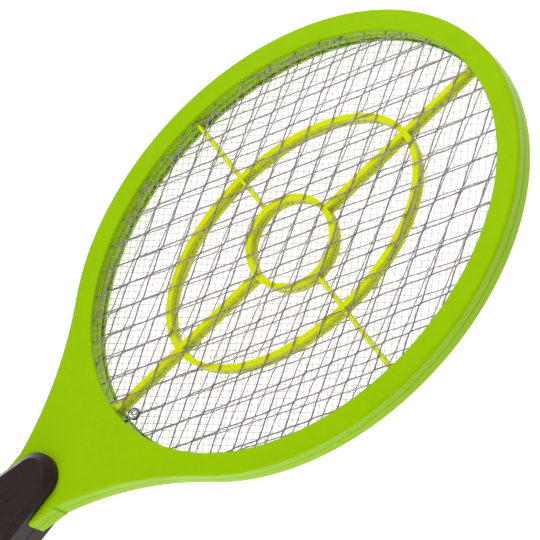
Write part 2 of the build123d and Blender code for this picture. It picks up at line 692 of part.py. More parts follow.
make_frame(1, "front_frame")
make_frame(-1, "rear_frame")
make_spacer(1, "front_spacer", [LEAD_SLOT_X])
make_spacer(-1, "rear_spacer", [])
make_outer_mesh(1, "front_mesh", FRONT_SHIFT, FRONT_TURN, [(EYELET_X, behind(EYELET))])
make_outer_mesh(-1, "rear_mesh", REAR_SHIFT, REAR_TURN, [])
make_middle_mesh()
make_front_terminal()
make_tag("middle_terminal", 0, -GAP, GAP)
make_tag("rear_terminal", REAR_TAG_X, -MESH_HIGH, -MESH_LOW)
make_lead("front_mesh_lead",
          [(8.6, 103.4, 2.8), (7.6, 113, 2.6), (6.5, 128, 2.2), (6.5, 166, 1.6), (6.5, 195, 2.4)])
make_lead("middle_mesh_lead",
          [(0, 116.0, 0.9), (-0.8, 126, 1.2), (-3.8, 142, 1.2), (-5.2, 166, 1.2), (-5.2, 195, 2.4)])
make_lead("rear_mesh_lead",
          [(-9, 116.0, -3.1), (-8.6, 126, -2.6), (-7.4, 142, -1.2), (-7.4, 166, 0.6), (-7.4, 195, 2.4)])
make_screws("frame_screws", frame_screw_places(), 0.2 - HEAD_HALF, SKIN - HEAD_HALF,
            3.6, FRAME_HEAD_R, FRAME_SHANK_R)
make_handle_shell(1, "front_handle_shell", front_shell_details)
make_handle_shell(-1, "rear_handle_shell", rear_shell_details)
make_screws("handle_screws", handle_screw_places(), HEAD_SINK - HANDLE_HALF - 1.8, HEAD_SINK - HANDLE_HALF,
            8.0, HANDLE_HEAD_R, HANDLE_SHANK_R)
make_power_button()
make_switch()
make_indicator()
make_board()
make_screws("board_screws", board_screw_places(), BOARD_LOW - 1.4, BOARD_LOW,
            9.0, BOARD_HEAD_R, BOARD_SHANK_R)
make_transformer()
make_discharge_capacitor()
make_multiplier_capacitors()
lying_barrels("rectifier_diodes", DIODES, DIODE_R, DIODE_HALF)
lying_barrels("resistors", RESISTORS, RESISTOR_R, RESISTOR_HALF)
make_transistor()
make_cell("battery_1", 1)
make_cell("battery_2", -1)
make_contacts()
make_lead("positive_lead", [(-TAG_AT_X, LEAD_FROM, TAG_HEIGHT), (-4.6, 266, 1.9), (-4.2, 259, 2.4)])
make_lead("negative_lead", [(TAG_AT_X, LEAD_FROM, TAG_HEIGHT), (4.6, 266, 1.9), (4.2, 259, 2.4)])
make_battery_door()
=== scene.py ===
import math
import random

import bmesh
import bpy
from mathutils import Matrix, Vector


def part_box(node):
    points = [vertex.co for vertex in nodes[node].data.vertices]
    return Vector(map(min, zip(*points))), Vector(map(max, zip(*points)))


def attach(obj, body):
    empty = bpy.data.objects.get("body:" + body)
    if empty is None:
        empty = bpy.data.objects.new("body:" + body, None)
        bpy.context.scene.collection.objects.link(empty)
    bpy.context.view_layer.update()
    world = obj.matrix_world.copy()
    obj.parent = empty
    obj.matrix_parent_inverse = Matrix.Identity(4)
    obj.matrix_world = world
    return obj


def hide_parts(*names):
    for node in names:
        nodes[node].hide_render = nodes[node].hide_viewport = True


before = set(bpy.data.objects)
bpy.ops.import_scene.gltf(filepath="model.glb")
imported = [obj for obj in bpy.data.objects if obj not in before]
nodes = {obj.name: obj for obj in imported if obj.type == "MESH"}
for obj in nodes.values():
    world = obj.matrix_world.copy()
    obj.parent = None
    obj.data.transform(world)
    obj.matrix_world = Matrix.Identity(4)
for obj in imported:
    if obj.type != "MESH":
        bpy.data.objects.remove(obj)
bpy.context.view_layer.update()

MM = 0.001
front_low, front_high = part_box("front_mesh")
rear_low, rear_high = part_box("rear_mesh")
MESH_CENTRE = (front_low + front_high) / 2
MESH_HALF_X = (front_high.x - front_low.x) / 2
MESH_HALF_Y = (front_high.y - front_low.y) / 2
REAR_MESH_Z = (rear_low.z + rear_high.z) / 2
HANDLE_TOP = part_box("front_handle_shell")[1].z


# ---------------------------------------------------------------- materials

WHITE = (1.0, 1.0, 1.0)
BEVEL_SAMPLES = 4
EDGE_STARTS, EDGE_WORN = 0.97, 0.75  # cosine between the flat and the rounded normal


def shaded(colour, factor, lift=0.0):
    """A colour made lighter or darker, and no brighter than white."""
    return tuple(min(1.0, part * factor + lift) for part in colour)


class Finish:
    """A node material built up in steps: colour, roughness, bump and worn edges.

    A scale is how many features of a pattern lie in a metre. Radii and distances are in metres.
    """

    def __init__(self, name, base, rough, metal=0.0, specular=0.5, tint=WHITE):
        self.material = bpy.data.materials.new(name)
        self.material.use_nodes = True
        self.material.diffuse_color = (*base, 1)
        self.tree = self.material.node_tree
        self.shader = self.tree.nodes["Principled BSDF"]
        self.shader.inputs["Base Color"].default_value = (*base, 1)
        self.shader.inputs["Roughness"].default_value = rough
        self.shader.inputs["Metallic"].default_value = metal
        self.shader.inputs["Specular IOR Level"].default_value = specular
        self.shader.inputs["Specular Tint"].default_value = (*tint, 1)
        self.place = self.node("ShaderNodeTexCoord").outputs["Object"]
        self.colour = tuple(base)
        self.colour_link = None
        self.rough = rough
        self.normal = None

    def node(self, kind, **settings):
        made = self.tree.nodes.new(kind)
        for name, value in settings.items():
            setattr(made, name, value)
        return made

    def put(self, socket, value):
        """Link a socket, or set it to a plain value."""
        if isinstance(value, bpy.types.NodeSocket):
            self.tree.links.new(value, socket)
        elif isinstance(value, tuple) and len(value) == 3 and socket.type == "RGBA":
            socket.default_value = (*value, 1)
        else:
            socket.default_value = value

    def math(self, operation, *terms, clamp=False):
        made = self.node("ShaderNodeMath", operation=operation, use_clamp=clamp)
        for socket, term in zip(made.inputs, terms):
            self.put(socket, term)
        return made.outputs[0]

    def stretched(self, scale):
        """The object's coordinates, scaled evenly or by a scale for each axis."""
        made = self.node("ShaderNodeMapping")
        self.put(made.inputs["Vector"], self.place)
        made.inputs["Scale"].default_value = scale if isinstance(scale, tuple) else (scale,) * 3
        return made.outputs[0]

    def noise(self, scale, detail=3.0, roughness=0.55):
        made = self.node("ShaderNodeTexNoise")
        self.put(made.inputs["Vector"], self.stretched(scale))
        made.inputs["Scale"].default_value = 1.0
        made.inputs["Detail"].default_value = detail
        made.inputs["Roughness"].default_value = roughness
        return made.outputs["Fac"]

    def cells(self, scale, randomness=1.0):
        made = self.node("ShaderNodeTexVoronoi")
        self.put(made.inputs["Vector"], self.stretched(scale))
        made.inputs["Scale"].default_value = 1.0
        made.inputs["Randomness"].default_value = randomness
        return made.outputs["Distance"]

    def ramp(self, value, low, high, bottom=0.0, top=1.0, smooth=True):
        """Bottom where the value is low, top where it is high."""
        made = self.node("ShaderNodeMapRange", interpolation_type="SMOOTHSTEP" if smooth else "LINEAR")
        self.put(made.inputs["Value"], value)
        made.inputs["From Min"].default_value = low
        made.inputs["From Max"].default_value = high
        made.inputs["To Min"].default_value = bottom
        made.inputs["To Max"].default_value = top
        return made.outputs["Result"]

    def axis(self, name):
        made = self.node("ShaderNodeSeparateXYZ")
        self.put(made.inputs[0], self.place)
        return made.outputs[name]

    def mix(self, mask, over):
        """Mix another colour over the present one by a mask."""
        made = self.node("ShaderNodeMix", data_type="RGBA", blend_type="MIX")
        self.put(made.inputs["Factor"], mask)
        self.put(made.inputs["A"], self.colour_link or self.colour)
        self.put(made.inputs["B"], over)
        self.colour_link = made.outputs["Result"]

    def patches(self, colour, scale, low, high, amount, detail=3.0):
        """Another colour where a noise rises from low to high."""
        self.mix(self.ramp(self.noise(scale, detail), low, high, top=amount), colour)

    def mottle(self, scale, depth, detail=3.0):
        """Slight uneven darkening of the colour."""
        self.patches(shaded(self.colour, 0.55), scale, low=0.35, high=0.75, amount=depth, detail=detail)

    def band(self, along, centre, outer, inner, colour):
        """A ring of colour at a place along the piece, full within inner, gone beyond outer."""
        near = self.math("ABSOLUTE", self.math("SUBTRACT", along, centre))
        self.mix(self.ramp(near, outer, inner), colour)

    def uneven(self, scale, spread):
        """Roughness that varies over the surface."""
        less, more = self.rough - spread, self.rough + spread
        value = self.ramp(self.noise(scale), low=0.3, high=0.7, bottom=less, top=more)
        self.put(self.shader.inputs["Roughness"], value)

    def bump(self, height, distance, strength=1.0):
        made = self.node("ShaderNodeBump")
        made.inputs["Distance"].default_value = distance
        made.inputs["Strength"].default_value = strength
        self.put(made.inputs["Height"], height)
        if self.normal is not None:
            self.put(made.inputs["Normal"], self.normal)
        self.normal = made.outputs["Normal"]

    def soft_edges(self, radius):
        """Edges catch light as if they were slightly rounded."""
        made = self.node("ShaderNodeBevel", samples=BEVEL_SAMPLES)
        made.inputs["Radius"].default_value = radius
        self.normal = made.outputs["Normal"]

    def worn_edges(self, radius, colour, amount, scale=900):
        """A rubbed colour where the surface turns sharply, broken up by noise."""
        bevel = self.node("ShaderNodeBevel", samples=BEVEL_SAMPLES)
        bevel.inputs["Radius"].default_value = radius
        flat = self.node("ShaderNodeNewGeometry").outputs["Normal"]
        cosine = self.node("ShaderNodeVectorMath", operation="DOT_PRODUCT")
        self.put(cosine.inputs[0], bevel.outputs["Normal"])
        self.put(cosine.inputs[1], flat)
        edge = self.ramp(cosine.outputs["Value"], EDGE_STARTS, EDGE_WORN)
        broken = self.ramp(self.noise(scale, detail=4.0), low=0.4, high=0.62)
        self.mix(self.math("MULTIPLY", self.math("MULTIPLY", edge, broken), amount), colour)

    def done(self):
        if self.colour_link is not None:
            self.put(self.shader.inputs["Base Color"], self.colour_link)
        if self.normal is not None:
            self.put(self.shader.inputs["Normal"], self.normal)
        return self.material


def paint(material, *names):
    """Give CAD nodes their material."""
    for name in names:
        slots = nodes[name].data.materials
        if not len(slots):
            slots.append(material)
        for index in range(len(slots)):
            slots[index] = material


def moulded(name, base, rough, grain_mm, deep_mm, shine, tint, edge_light=1.25):
    """Moulded plastic: fine spark-eroded grain, faint flow marks, rubbed edges."""
    made = Finish(name, base, rough, specular=shine, tint=tint)
    made.soft_edges(radius=0.25 * MM)
    made.mottle(scale=45, depth=0.10)
    made.mottle(scale=420, depth=0.07, detail=5.0)
    made.worn_edges(radius=0.5 * MM, colour=shaded(base, edge_light, 0.02), amount=0.45)
    made.uneven(scale=160, spread=0.05)
    grain = made.noise(1 / MM / grain_mm, detail=4.0, roughness=0.6)
    made.bump(grain, deep_mm * MM, strength=0.8)
    flow_marks = made.noise(scale=30, detail=2.0)
    made.bump(flow_marks, 0.10 * MM, strength=0.25)
    return made


LIME = (0.252, 0.45, 0.0005)
LIME_RIB = (0.56, 0.62, 0.0008)
LIME_BORDER = (0.30, 0.52, 0.0005)
LIME_SHEEN = (0.45, 0.75, 0.01)  # the pigmented skin tints what it reflects
BORDER_STARTS, BORDER_FULL = 0.962, 0.972  # shares of the outer mesh's half size
FLATTENED = 1000  # dividing the height by this leaves a distance in the flat only

lime = moulded("lime_plastic", LIME, 0.40, grain_mm=0.35, deep_mm=0.020, shine=0.22, tint=LIME_SHEEN).done()


def spacer_plastic():
    """The ribs' thin yellow-green plastic lets light through; the border looks as green as the rim."""
    made = moulded("rib_plastic", LIME_RIB, 0.36, grain_mm=0.5, deep_mm=0.008, shine=0.35, tint=LIME_SHEEN)
    made.shader.inputs["Subsurface Weight"].default_value = 0.55
    made.shader.inputs["Subsurface Radius"].default_value = (1.0, 1.0, 0.15)
    made.shader.inputs["Subsurface Scale"].default_value = 2.5 * MM
    outward = made.node("ShaderNodeMapping", vector_type="TEXTURE")
    made.put(outward.inputs["Vector"], made.place)
    outward.inputs["Location"].default_value = (MESH_CENTRE.x, MESH_CENTRE.y, 0)
    outward.inputs["Scale"].default_value = (MESH_HALF_X, MESH_HALF_Y, FLATTENED)
    away = made.node("ShaderNodeVectorMath", operation="LENGTH")
    made.put(away.inputs[0], outward.outputs[0])
    made.mix(made.ramp(away.outputs["Value"], BORDER_STARTS, BORDER_FULL), LIME_BORDER)
    return made.done()


rib_lime = spacer_plastic()
button_lime = moulded("button_plastic", LIME, 0.34, grain_mm=0.6, deep_mm=0.010, shine=0.35,
                      tint=LIME_SHEEN).done()

GRIP = (0.0125, 0.0068, 0.0060)
GRIP_SHEEN = (1.0, 0.84, 0.82)
DOTS_START, DOTS_FULL = 0.9 * MM, 0.3 * MM  # depths below the handle's flat faces
DOTS_IN_A_METRE = 1700
DOT_FOOT, DOT_TOP = 0.42, 0.16  # distances from a dot's middle, as shares of their spacing


def grip_plastic():
    """Black-brown grip plastic: fine raised dots on its flat faces, satin skin elsewhere."""
    made = moulded("grip_plastic", GRIP, 0.30, grain_mm=0.3, deep_mm=0.014, shine=0.32, tint=GRIP_SHEEN,
                   edge_light=2.2)
    up = made.axis("Z")
    flat_front = made.ramp(up, HANDLE_TOP - DOTS_START, HANDLE_TOP - DOTS_FULL)
    flat_rear = made.ramp(up, DOTS_START, DOTS_FULL)
    flats = made.math("ADD", flat_front, flat_rear, clamp=True)
    from_dot = made.cells((DOTS_IN_A_METRE, DOTS_IN_A_METRE, 1), randomness=0.15)
    dots = made.ramp(from_dot, DOT_FOOT, DOT_TOP)
    made.bump(made.math("MULTIPLY", dots, flats), 0.12 * MM)
    return made.done()


grip = grip_plastic()


def strand_metal(name, base, rough, dark):
    """Slit or drawn metal: dull oxide patches and bright streaks along its length."""
    made = Finish(name, base, rough, metal=0.85)
    made.patches(dark, scale=700, low=0.42, high=0.68, amount=0.75, detail=4.0)
    made.patches(shaded(base, 1.5), scale=(2600, 240, 2600), low=0.5, high=0.72, amount=0.5)
    made.uneven(scale=1200, spread=0.10)
    draw_lines = made.noise((5200, 420, 5200))
    made.bump(draw_lines, 0.02 * MM, strength=0.7)
    return made.done()


mesh_front_metal = strand_metal("expanded_sheet_front", (0.27, 0.235, 0.24), 0.42, (0.085, 0.066, 0.068))
mesh_rear_metal = strand_metal("expanded_sheet_rear", (0.36, 0.33, 0.335), 0.46, (0.15, 0.13, 0.13))
wire_metal = strand_metal("drawn_wire", (0.60, 0.56, 0.58), 0.38, (0.36, 0.32, 0.33))


def plated(name, base, rough, scale=900, tarnish=(0.30, 0.25, 0.18)):
    """Plated sheet or turned metal: fine brushing, small tarnish spots, bright edges."""
    made = Finish(name, base, rough, metal=1.0)
    made.soft_edges(radius=0.12 * MM)
    made.patches(tarnish, scale, low=0.55, high=0.78, amount=0.55, detail=5.0)
    made.worn_edges(radius=0.25 * MM, colour=shaded(base, 1.25), amount=0.5, scale=1500)
    made.uneven(scale * 1.5, spread=0.08)
    brushing = made.noise((scale * 6, scale, scale * 6))
    made.bump(brushing, 0.006 * MM, strength=0.7)
    return made


nickel = plated("nickel_plate", (0.62, 0.61, 0.58), 0.26).done()
dull_nickel = plated("dull_nickel", (0.40, 0.38, 0.35), 0.30, 1500, tarnish=(0.07, 0.06, 0.05)).done()
zinc = plated("zinc_screw", (0.52, 0.53, 0.54), 0.34, 1300, tarnish=(0.28, 0.27, 0.25)).done()


def wire_cover(name, base):
    """Soft insulation: smooth with slight extrusion lines and dust."""
    made = Finish(name, base, 0.44, specular=0.4)
    made.mottle(scale=500, depth=0.25)
    made.patches((0.45, 0.42, 0.38), scale=240, low=0.58, high=0.8, amount=0.15, detail=5.0)
    made.uneven(scale=700, spread=0.08)
    extrusion_lines = made.noise((4000, 300, 4000), detail=2.0)
    made.bump(extrusion_lines, 0.02 * MM, strength=0.6)
    return made.done()


black_cover = wire_cover("black_insulation", (0.012, 0.012, 0.012))
red_cover = wire_cover("red_insulation", (0.42, 0.018, 0.014))


def moulded_small(name, base, rough, pits=1400, deep_mm=0.02):
    """Small electronic part: moulded or dipped body with pits, mould marks and dulled edges."""
    made = Finish(name, base, rough)
    made.soft_edges(radius=0.2 * MM)
    made.mottle(scale=300, depth=0.3)
    made.worn_edges(radius=0.35 * MM, colour=shaded(base, 1.6, 0.03), amount=0.5, scale=1500)
    made.uneven(scale=600, spread=0.1)
    made.bump(made.cells(pits), deep_mm * MM, strength=0.5)
    return made.done()


black_epoxy = moulded_small("black_epoxy", (0.016, 0.016, 0.017), 0.5)
nylon = moulded_small("natural_nylon", (0.62, 0.61, 0.56), 0.42)
ferrite = moulded_small("sintered_ferrite", (0.045, 0.045, 0.050), 0.62, pits=2600, deep_mm=0.04)
film_dip = moulded_small("dipped_film", (0.33, 0.055, 0.025), 0.28, pits=500, deep_mm=0.05)
ceramic_dip = moulded_small("dipped_ceramic", (0.09, 0.20, 0.44), 0.34, pits=800, deep_mm=0.05)


def board_face():
    """Tan phenolic paper board: paper fibres, resin patches and punched, browned edges."""
    made = Finish("phenolic_board", (0.36, 0.22, 0.085), 0.46)
    made.mottle(scale=260, depth=0.45, detail=6.0)
    made.patches((0.50, 0.35, 0.17), scale=(200, 2600, 200), low=0.55, high=0.7, amount=0.35)
    made.worn_edges(radius=0.4 * MM, colour=(0.20, 0.11, 0.04), amount=0.8, scale=1200)
    made.uneven(scale=500, spread=0.1)
    made.bump(made.noise(scale=2500, detail=4.0), 0.02 * MM, strength=0.6)
    return made.done()


def tape_over_winding():
    """Yellow tape wrapped in turns over the winding."""
    made = Finish("yellow_tape", (0.62, 0.45, 0.035), 0.22)
    turns = made.node("ShaderNodeTexWave", wave_type="BANDS", bands_direction="Z")
    made.put(turns.inputs["Vector"], made.stretched(420))
    turns.inputs["Scale"].default_value = 1.0
    turns.inputs["Distortion"].default_value = 0.6
    overlap = made.ramp(turns.outputs["Fac"], low=0.0, high=0.18, bottom=0.5, top=0.0)
    made.mix(overlap, (0.30, 0.19, 0.012))
    made.mottle(scale=300, depth=0.25)
    made.uneven(scale=500, spread=0.08)
    made.bump(turns.outputs["Fac"], 0.06 * MM, strength=0.8)
    return made.done()


RESISTOR_RINGS = (  # place along the body, colour
    (0.22, (0.30, 0.03, 0.02)),
    (0.38, (0.03, 0.03, 0.03)),
    (0.54, (0.45, 0.16, 0.0)),
    (0.78, (0.50, 0.36, 0.08)),
)


def resistor_bands():
    """Lacquered body with coloured rings along X."""
    made = Finish("resistor_lacquer", (0.58, 0.45, 0.27), 0.32)
    low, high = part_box("resistors")
    along = made.ramp(made.axis("X"), low.x, high.x, smooth=False)
    for centre, tint in RESISTOR_RINGS:
        made.band(along, centre, outer=0.045, inner=0.03, colour=tint)
    made.uneven(scale=800, spread=0.08)
    made.bump(made.noise(scale=900), 0.03 * MM, strength=0.5)
    return made.done()


def diode_body():
    """Black moulded body with a grey ring at one end."""
    made = Finish("diode_body", (0.018, 0.018, 0.019), 0.42)
    low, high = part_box("rectifier_diodes")
    along = made.ramp(made.axis("X"), low.x, high.x, smooth=False)
    made.band(along, 0.8, outer=0.075, inner=0.06, colour=(0.55, 0.55, 0.54))
    made.mottle(scale=700, depth=0.3)
    made.uneven(scale=900, spread=0.08)
    made.bump(made.noise(scale=2400), 0.03 * MM, strength=0.6)
    return made.done()


SHOULDER = 0.70  # where the cell's copper colour starts, as a share of its length
CELL_ENDS = ((0.955, 0.962), (0.020, 0.013))  # where each end's bare metal starts and is full


def cell_sleeve(name, node, nub_up):
    """Plain printed sleeve with a copper-coloured shoulder, and bare metal at both ends."""
    made = Finish(name, (0.035, 0.036, 0.042), 0.30)
    low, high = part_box(node)
    foot, nub = (0.0, 1.0) if nub_up else (1.0, 0.0)
    along = made.ramp(made.axis("Y"), low.y, high.y, foot, nub, smooth=False)
    made.mix(made.ramp(along, SHOULDER, SHOULDER + 0.005), (0.56, 0.27, 0.10))
    made.band(along, SHOULDER, outer=0.012, inner=0.009, colour=(0.75, 0.74, 0.72))
    ends = made.math("MAXIMUM", *(made.ramp(along, starts, full) for starts, full in CELL_ENDS))
    made.mix(ends, (0.60, 0.59, 0.57))
    made.put(made.shader.inputs["Metallic"], made.ramp(ends, 0.0, 1.0, bottom=0.15))
    made.patches((0.4, 0.4, 0.4), scale=(260, 60, 260), low=0.6, high=0.8, amount=0.25, detail=4.0)
    made.uneven(scale=500, spread=0.08)
    made.bump(made.noise(scale=350, detail=4.0), 0.05 * MM, strength=0.4)
    return made.done()


def red_lens():
    """Diffusing red lens: clear dome, cloudy inside."""
    made = Finish("red_lens", (0.62, 0.02, 0.015), 0.18)
    made.mottle(scale=1200, depth=0.3)
    made.uneven(scale=900, spread=0.05)
    made.bump(made.noise(scale=1500, detail=2.0), 0.01 * MM, strength=0.5)
    made.shader.inputs["Transmission Weight"].default_value = 0.35
    made.shader.inputs["Subsurface Weight"].default_value = 0.2
    made.shader.inputs["Subsurface Radius"].default_value = (1.2 * MM, 0.2 * MM, 0.2 * MM)
    return made.done()


paint(lime, "front_frame", "rear_frame")
paint(rib_lime, "front_spacer", "rear_spacer")
paint(wire_metal, "middle_mesh")
paint(nickel, "middle_terminal", "rear_terminal", "positive_contact", "negative_contact", "bridge_contact")
paint(black_cover, "front_mesh_lead", "rear_mesh_lead", "middle_mesh_lead", "negative_lead")
paint(red_cover, "positive_lead")
paint(zinc, "frame_screws", "handle_screws", "board_screws")
paint(grip, "front_handle_shell", "rear_handle_shell", "battery_door")
paint(button_lime, "power_button")
paint(black_epoxy, "switch_body", "transistor")
paint(nylon, "switch_plunger")
paint(board_face(), "circuit_board")
paint(red_lens(), "indicator_led")
paint(ferrite, "transformer_core")
paint(tape_over_winding(), "transformer_winding")
paint(film_dip, "discharge_capacitor")
paint(ceramic_dip, "multiplier_capacitors")
paint(diode_body(), "rectifier_diodes")
paint(resistor_bands(), "resistors")
paint(cell_sleeve("cell_sleeve_1", "battery_1", True), "battery_1")
paint(cell_sleeve("cell_sleeve_2", "battery_2", False), "battery_2")


# ---------------------------------------------------------------- pieces made here

def new_piece(name, maker, material, body, replaced=()):
    """Finish a bmesh as a piece that rides on a CAD body."""
    mesh = bpy.data.meshes.new(name)
    maker.to_mesh(mesh)
    maker.free()
    mesh.materials.append(material)
    piece = bpy.data.objects.new(name, mesh)
    bpy.context.scene.collection.objects.link(piece)
    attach(piece, body)
    if replaced:
        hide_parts(*replaced)


def sweep(maker, spots, section, roll=0.0):
    """Skin a closed section along points, upright or rolled about its own run, with flat ends."""
    rings = []
    for index, spot in enumerate(spots):
        ahead = (spots[min(index + 1, len(spots) - 1)] - spots[max(index - 1, 0)]).normalized()
        upright = Matrix.Rotation(roll, 3, ahead) @ Vector((0, 0, 1))
        side = ahead.cross(upright).normalized()
        up = side.cross(ahead).normalized()
        rings.append([maker.verts.new(spot + side * u + up * v) for u, v in section])
    for ring, following in zip(rings, rings[1:]):
        for index in range(len(section)):
            after = (index + 1) % len(section)
            face = maker.faces.new((ring[index], ring[after], following[after], following[index]))
            face.smooth = True
    maker.faces.new(list(reversed(rings[0])))
    maker.faces.new(rings[-1])


# ---------------------------------------------------------------- expanded metal sheets

CELL_X, CELL_Y = 11.64 * MM, 22.24 * MM  # one diamond
FRONT_SHIFT, REAR_SHIFT = (-3.1 * MM, -5.4 * MM), (-1.0 * MM, -1.5 * MM)
FRONT_TURN, REAR_TURN = math.radians(3.55), math.radians(0.2)
FRONT_SEED, REAR_SEED = 11, 23
MESH_MARGIN = 0.9 * MM  # the strands end this far inside the sheet's clamped edge
STRAND_WIDE, STRAND_THICK = 0.62 * MM, 0.30 * MM
STRAND_CORNER = 0.28  # how much of the thickness a sheared corner takes
STRAND_APART = 0.42  # from a bond's middle to each strand's middle, in strand widths
STRAND_ROLL = math.radians(22)
STRAND_DRIFT = 0.10 * MM  # a bond lies at most this far out of place
BOND_LONG = 1.3 * MM  # how far two strands run side by side
RELIEF = 0.13 * MM  # the strands rise and dip by this much
BEND_SOFTNESS = 0.20  # share of a strand's swing that eases in and out
STEP = 0.5 * MM  # between two sections of a strand
SHORTEST_RUN = 5  # sections; anything shorter is left out at the border


def strand_section():
    """Eight-sided section of a sheared strand."""
    x, y = STRAND_WIDE / 2, STRAND_THICK / 2
    cut = STRAND_CORNER * min(STRAND_WIDE, STRAND_THICK)
    return [(x, y - cut), (x - cut, y), (cut - x, y), (-x, y - cut),
            (-x, cut - y), (cut - x, -y), (x - cut, -y), (x, cut - y)]


def wave_at(phase, bond):
    """Zigzag between -1 and 1 with period 2, flat for a bond's length at each turn, softly bent."""
    phase %= 2.0
    climb = phase if phase <= 1.0 else 2.0 - phase
    inner = min(1.0, max(0.0, (climb - bond) / (1.0 - 2 * bond)))
    eased = (1.0 - BEND_SOFTNESS) * inner + BEND_SOFTNESS * inner * inner * (3 - 2 * inner)
    return 2.0 * eased - 1.0


def strand_runs(column, rows, drift, centre, turn, centre_z, up):
    """The stretches of one zigzag strand that lie inside the clamped border."""
    half_cell = CELL_Y / 2
    half_x, half_y = MESH_HALF_X - MESH_MARGIN, MESH_HALF_Y - MESH_MARGIN
    reach = CELL_X / 4 - STRAND_APART * STRAND_WIDE
    runs = [[]]
    for index in range(int(rows * CELL_Y / STEP) + 1):
        along = index * STEP - rows * half_cell
        knot = math.floor(along / half_cell)
        past = along / half_cell - knot
        swing = wave_at(along / half_cell + column % 2, BOND_LONG / CELL_Y)
        bend = drift[knot + rows] * (1 - past) + drift[knot + rows + 1] * past
        spot = centre + turn @ Vector(((column + 0.5) * CELL_X / 2 + swing * reach + bend, along, 0))
        spot.z = centre_z - up * swing * RELIEF
        off = spot - MESH_CENTRE
        if (off.x / half_x) ** 2 + (off.y / half_y) ** 2 <= 1.0:
            runs[-1].append(spot)
        elif runs[-1]:
            runs.append([])
    return [run for run in runs if len(run) >= SHORTEST_RUN]


def expanded_sheet(name, centre_z, up, shift, turned_by, material, replaced, seed):
    """Zigzag strands that touch side by side at the bonds, clipped at the clamped border."""
    chance = random.Random(seed)
    maker = bmesh.new()
    section = strand_section()
    turn = Matrix.Rotation(turned_by, 3, "Z")
    centre = Vector((MESH_CENTRE.x + shift[0], MESH_CENTRE.y + shift[1], 0))
    centre += turn @ Vector((CELL_X / 4, CELL_Y / 4, 0))
    columns = int(2 * MESH_HALF_X / CELL_X) + 3
    rows = int(2 * MESH_HALF_Y / CELL_Y) + 3
    for column in range(-columns, columns + 1):
        drift = [chance.uniform(-STRAND_DRIFT, STRAND_DRIFT) for _ in range(4 * rows + 2)]
        for run in strand_runs(column, rows, drift, centre, turn, centre_z, up):
            sweep(maker, run, section, STRAND_ROLL * up)
    new_piece(name, maker, material, "racket", replaced)


expanded_sheet("front_strands", MESH_CENTRE.z, 1, FRONT_SHIFT, FRONT_TURN,
               mesh_front_metal, ("front_mesh",), FRONT_SEED)
expanded_sheet("rear_strands", REAR_MESH_Z, -1, REAR_SHIFT, REAR_TURN,
               mesh_rear_metal, ("rear_mesh",), REAR_SEED)


# ---------------------------------------------------------------- eyelet and its wire

eyelet_low, eyelet_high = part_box("front_terminal")
EYELET = (eyelet_low + eyelet_high) / 2
EYELET_R = (eyelet_high.x - eyelet_low.x) / 2
EYELET_HALF = (eyelet_high.z - eyelet_low.z) / 2
NECK_R = EYELET_R * 0.62
HOLE_R = 1.25 * MM
FLANGE = 0.42 * MM  # thickness of the rolled flange
ROLL_FULLNESS = 0.98  # the roll stays just inside the eyelet's radius
ROLL_STEPS = 8
THROAT = 0.30 * MM  # how much wider the hole is at its mouth
MOUTH_AT, THROAT_AT = 0.92, 0.55  # shares of half the eyelet's height
EYELET_SIDES = 48
# near-black colour painted on the eyelet's rim and in its hole: dirt together with painted shade
DIRT_AND_SHADE = (0.035, 0.03, 0.027)
RIM_DIRT_SHADE_STARTS, RIM_DIRT_SHADE_FULL = 0.72, 0.86  # where the dirt and painted shade on the rim start and are full, as shares of the eyelet's radius
HOLE_DIRT_SHADE_REACH = 0.35 * MM  # how far the dirt and painted shade come out of the hole


def lathe(maker, profile, centre):
    """Turn a closed profile of (radius, height) round the vertical through centre."""
    rings = []
    for index in range(EYELET_SIDES):
        angle = 2 * math.pi * index / EYELET_SIDES
        rings.append([maker.verts.new(centre + Vector((r * math.cos(angle), r * math.sin(angle), z)))
                      for r, z in profile])
    for ring, following in zip(rings, rings[1:] + rings[:1]):
        for spot in range(len(profile)):
            after = (spot + 1) % len(profile)
            maker.faces.new((ring[spot], following[spot], following[after], ring[after])).smooth = True


def rolled_flange(middle):
    """Half a round at the rim, from the flange's upper face to its lower one."""
    spots = []
    for index in range(ROLL_STEPS + 1):
        angle = math.pi * index / ROLL_STEPS
        radius = EYELET_R - FLANGE + FLANGE * math.sin(angle) * ROLL_FULLNESS
        spots.append((radius, middle + FLANGE / 2 * math.cos(angle)))
    return spots


def eyelet_finish():
    """Bright plating, darkened at the flange's rim and inside the hole by dirt and painted shade."""
    made = plated("eyelet_nickel", (0.66, 0.65, 0.62), 0.24)
    from_top = made.node("ShaderNodeVectorMath", operation="DISTANCE")
    made.put(from_top.inputs[0], made.place)
    from_top.inputs[1].default_value = EYELET + Vector((0, 0, EYELET_HALF))
    reach = from_top.outputs["Value"]
    # painted shade and dirt: a dark ring over the rolled rim, where it turns away
    rim_dirt_and_shade = made.ramp(reach, EYELET_R * RIM_DIRT_SHADE_STARTS, EYELET_R * RIM_DIRT_SHADE_FULL, top=0.95)
    # painted shade and dirt in the mouth of the hole, a recess
    hole_dirt_and_shade = made.ramp(reach, HOLE_R + HOLE_DIRT_SHADE_REACH, HOLE_R, top=0.85)
    made.mix(made.math("MAXIMUM", rim_dirt_and_shade, hole_dirt_and_shade), DIRT_AND_SHADE)
    return made.done()


def eyelet():
    """Rolled eyelet: a rounded flange on each side of the sheet, and a smooth throat."""
    maker = bmesh.new()
    profile = [
        *rolled_flange(EYELET_HALF - FLANGE / 2),
        (NECK_R, EYELET_HALF - FLANGE),
        (NECK_R, FLANGE - EYELET_HALF),
        *rolled_flange(FLANGE / 2 - EYELET_HALF),
        (HOLE_R + THROAT, -EYELET_HALF * MOUTH_AT),
        (HOLE_R, -EYELET_HALF * THROAT_AT),
        (HOLE_R, EYELET_HALF * THROAT_AT),
        (HOLE_R + THROAT, EYELET_HALF * MOUTH_AT),
    ]
    lathe(maker, profile, EYELET)
    new_piece("front_eyelet", maker, eyelet_finish(), "racket", ("front_terminal",))


